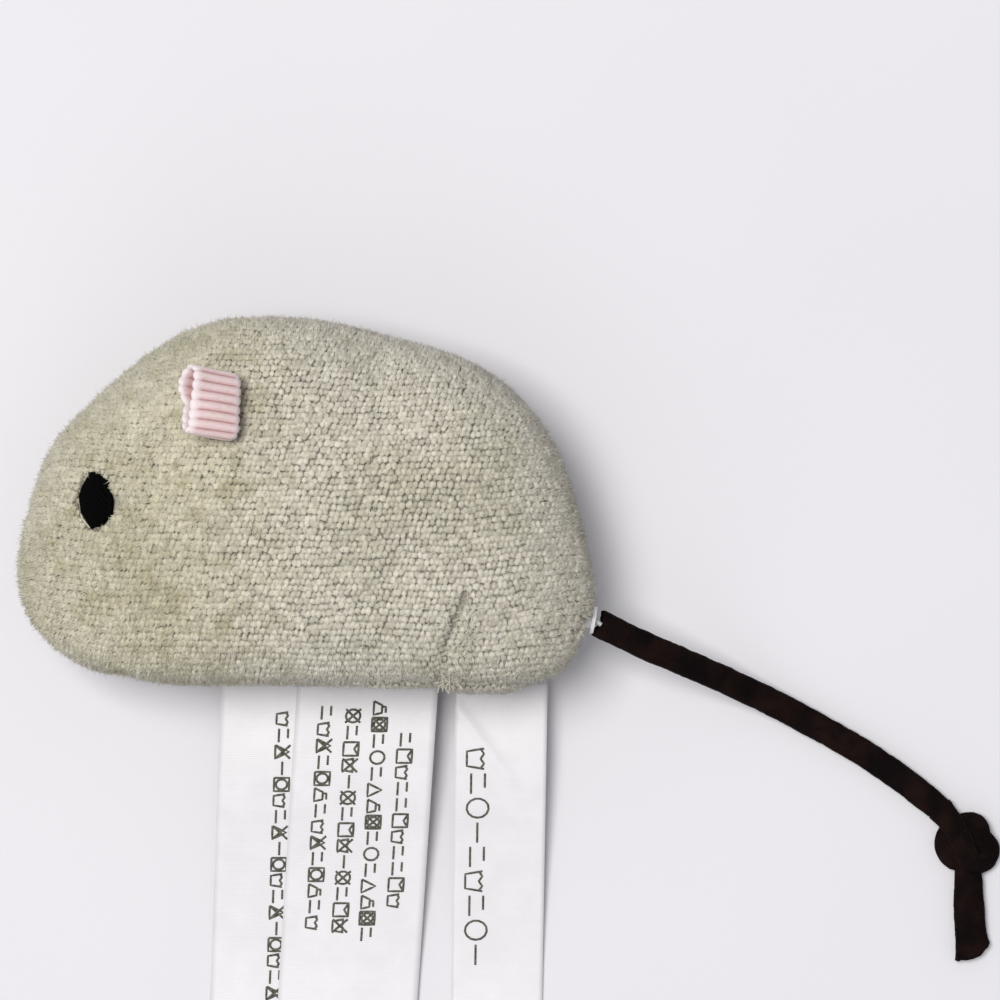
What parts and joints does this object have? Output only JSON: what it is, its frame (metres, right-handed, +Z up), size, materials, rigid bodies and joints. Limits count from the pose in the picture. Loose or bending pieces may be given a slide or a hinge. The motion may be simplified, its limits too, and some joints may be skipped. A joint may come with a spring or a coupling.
{
  "type": "pull-tail plush mouse",
  "caption": "Small stuffed plush mouse with ribbon ears, stitched eyes, sewn-in labels and a knotted cord tail that winds a vibration motor inside.",
  "frame": {"origin": "on the floor under the middle of the body, which lies on its right side", "axes": "-X to the nose and +X to the tail, +Y to the back and -Y to the base and its labels, +Z up through the left side"},
  "size_m": [0.1241, 0.0931, 0.0346],
  "materials": {
    "plush_left": "short-pile plush",
    "plush_right": "short-pile plush",
    "plush_base": "short-pile plush",
    "wadding": "loose polyester fibre",
    "eye_thread": "satin stitch",
    "ear_ribbon": "grosgrain ribbon",
    "label_satin": "printed satin tape",
    "seam_thread": "sewing thread",
    "eyelet_plastic": "moulded",
    "washer_plastic": "moulded",
    "tail_suede": "brushed suede lace",
    "nylon_line": "braided nylon",
    "case_plastic": "moulded, fine spark texture",
    "cover_plastic": "moulded, fine spark texture",
    "screw_steel": "zinc plated",
    "bush_acetal": "moulded acetal",
    "drum_acetal": "moulded acetal",
    "gear_acetal": "moulded acetal",
    "spring_steel": "blued spring strip",
    "weight_zinc": "die-cast zinc",
    "pin_steel": "ground pin"
  },
  "bodies": {
    "root": {"side_panel_left": "plush_left", "side_panel_right": "plush_right", "base_panel": "plush_base", "wadding_front": "wadding", "wadding_rear": "wadding", "eye_left": "eye_thread", "eye_right": "eye_thread", "ear_right": "ear_ribbon", "back_stitches": "seam_thread", "tail_eyelet": "eyelet_plastic", "eyelet_washer": "washer_plastic", "case_tray": "case_plastic", "case_cover": "cover_plastic", "case_screws": "screw_steel", "line_bush": "bush_acetal", "return_spring": "spring_steel", "drum_axle": "pin_steel", "idler_axle": "pin_steel", "weight_axle": "pin_steel"},
    "ear": {"ear_left": "ear_ribbon"},
    "care_labels": {"care_label_lower": "label_satin", "care_label_upper": "label_satin"},
    "contents_tape": {"contents_label": "label_satin"},
    "tail": {"tail_cord": "tail_suede", "tail_knot": "tail_suede", "tail_end": "tail_suede", "pull_line": "nylon_line"},
    "drum": {"cord_drum": "drum_acetal", "wound_line": "nylon_line"},
    "idler": {"idler_gear": "gear_acetal"},
    "shaker": {"weight_pinion": "gear_acetal", "eccentric_weight": "weight_zinc"}
  },
  "joints": [
    {"name": "tail_pull", "type": "slide", "parent": "root", "child": "tail", "axis": [0.891, -0.454, 0], "range_m": [0, 0.04], "stiffness_N_per_m": 15, "springref_m": -0.01, "deforming": ["pull_line"]},
    {"name": "drum_spin", "type": "hinge", "parent": "root", "child": "drum", "pos_m": [-0.00929, -0.00055, 0.0145], "axis": [0, 0, 1], "range_deg": [0, 393], "deforming": ["return_spring"]},
    {"name": "idler_spin", "type": "hinge", "parent": "root", "child": "idler", "pos_m": [0.00024, -0.00605, 0.0145], "axis": [0, 0, 1], "range_deg": [-1334, 0]},
    {"name": "weight_spin", "type": "hinge", "parent": "root", "child": "shaker", "pos_m": [0.00885, -0.00204, 0.0145], "axis": [0, 0, 1], "range_deg": [0, 3731]},
    {"name": "care_label_lift", "type": "hinge", "parent": "root", "child": "care_labels", "pos_m": [0.0025, -0.0233, 0.0047], "axis": [-1, 0, 0], "range_deg": [0, 80]},
    {"name": "contents_label_lift", "type": "hinge", "parent": "root", "child": "contents_tape", "pos_m": [0.0242, -0.0233, 0.0047], "axis": [-1, 0, 0], "range_deg": [0, 80]},
    {"name": "ear_flex", "type": "hinge", "parent": "root", "child": "ear", "pos_m": [-0.0091, 0.0113, 0.02799], "axis": [0, 0.9613, -0.2756], "range_deg": [-25, 20], "stiffness_Nm_per_rad": 0.0002}
  ],
  "couplings": [
    {"joint": "drum_spin", "follows": "tail_pull", "rad_per_m": 170.94},
    {"joint": "idler_spin", "follows": "tail_pull", "rad_per_m": -581.2},
    {"joint": "weight_spin", "follows": "tail_pull", "rad_per_m": 1627.4}
  ]
}
